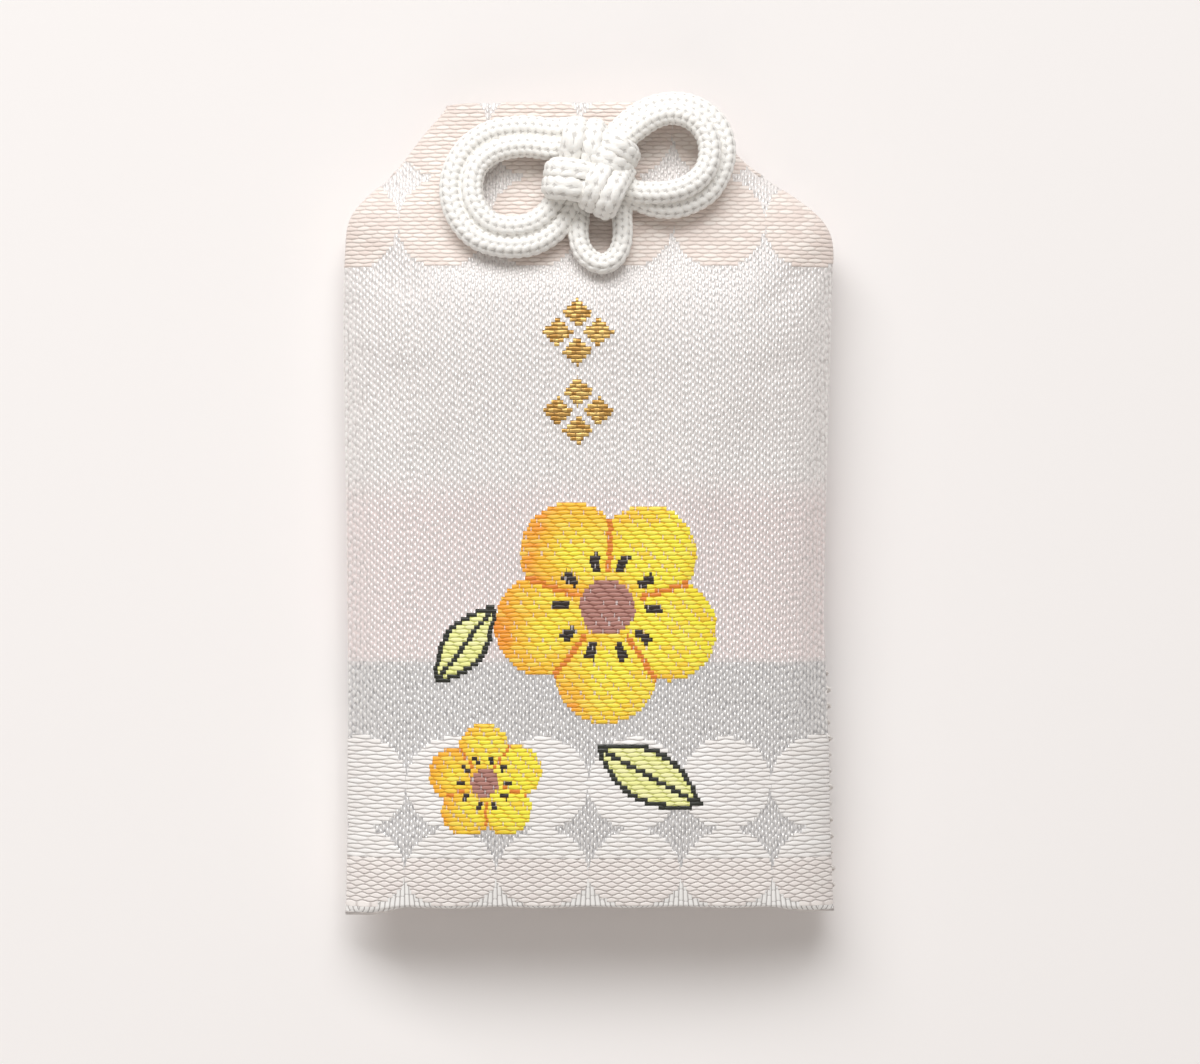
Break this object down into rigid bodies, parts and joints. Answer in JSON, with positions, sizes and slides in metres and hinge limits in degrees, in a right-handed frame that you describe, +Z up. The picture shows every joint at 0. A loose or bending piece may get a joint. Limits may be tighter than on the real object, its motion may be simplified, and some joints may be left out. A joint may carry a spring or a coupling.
{
  "type": "omamori charm",
  "caption": "Flat padded brocade charm pouch with sloped shoulders, closed by a white braided cord tied in a double-eared bow knot, holding a wrapped wooden slip.",
  "frame": {"origin": "on the table, under the middle of the pouch's outline as it lies on its back", "axes": "+X across the pouch, +Y from the bottom fold to the mouth, +Z up from the table through the front"},
  "size_m": [0.0454, 0.0758, 0.013],
  "materials": {
    "brocade": "silver-white jacquard weave",
    "interfacing": "non-woven",
    "thread": "sewing thread",
    "card": "grey-brown board",
    "washi": "white washi paper",
    "cypress": "bare planed wood",
    "cotton": "soft wadding",
    "cord": "white round braid"
  },
  "bodies": {
    "pouch": {"brocade_pouch": "brocade", "front_interfacing": "interfacing", "back_interfacing": "interfacing", "left_side_seam": "thread", "right_side_seam": "thread", "left_corner_flap": "brocade", "right_corner_flap": "brocade", "stiffener_card": "card", "wadding_pad": "cotton", "knot_top_inner": "cord", "knot_top_outer": "cord", "knot_left_inner": "cord", "knot_left_outer": "cord", "knot_bottom_inner": "cord", "knot_bottom_outer": "cord", "knot_right_inner": "cord", "knot_right_outer": "cord", "knot_heart": "cord", "closing_bridge": "cord"},
    "inner_charm": {"charm_wrapper": "washi", "charm_slip": "cypress"},
    "left_ear": {"left_ear_outer": "cord", "left_ear_inner": "cord"},
    "right_ear": {"right_ear_outer": "cord", "right_ear_inner": "cord"},
    "drop_loop": {"drop_loop": "cord"}
  },
  "joints": [
    {"name": "charm_slide", "type": "slide", "parent": "pouch", "child": "inner_charm", "axis": [0, 1, 0], "range_m": [0, 0.006]},
    {"name": "left_ear_lift", "type": "hinge", "parent": "pouch", "child": "left_ear", "pos_m": [-0.00265, 0.03, 0.00896], "axis": [-0.049, 0.9828, -0.178], "range_deg": [0, 60]},
    {"name": "right_ear_lift", "type": "hinge", "parent": "pouch", "child": "right_ear", "pos_m": [0.0046, 0.031, 0.00878], "axis": [0, -0.984, 0.178], "range_deg": [0, 60]},
    {"name": "drop_loop_lift", "type": "hinge", "parent": "pouch", "child": "drop_loop", "pos_m": [0.0012, 0.0262, 0.00965], "axis": [-1, 0, 0], "range_deg": [0, 70]}
  ]
}
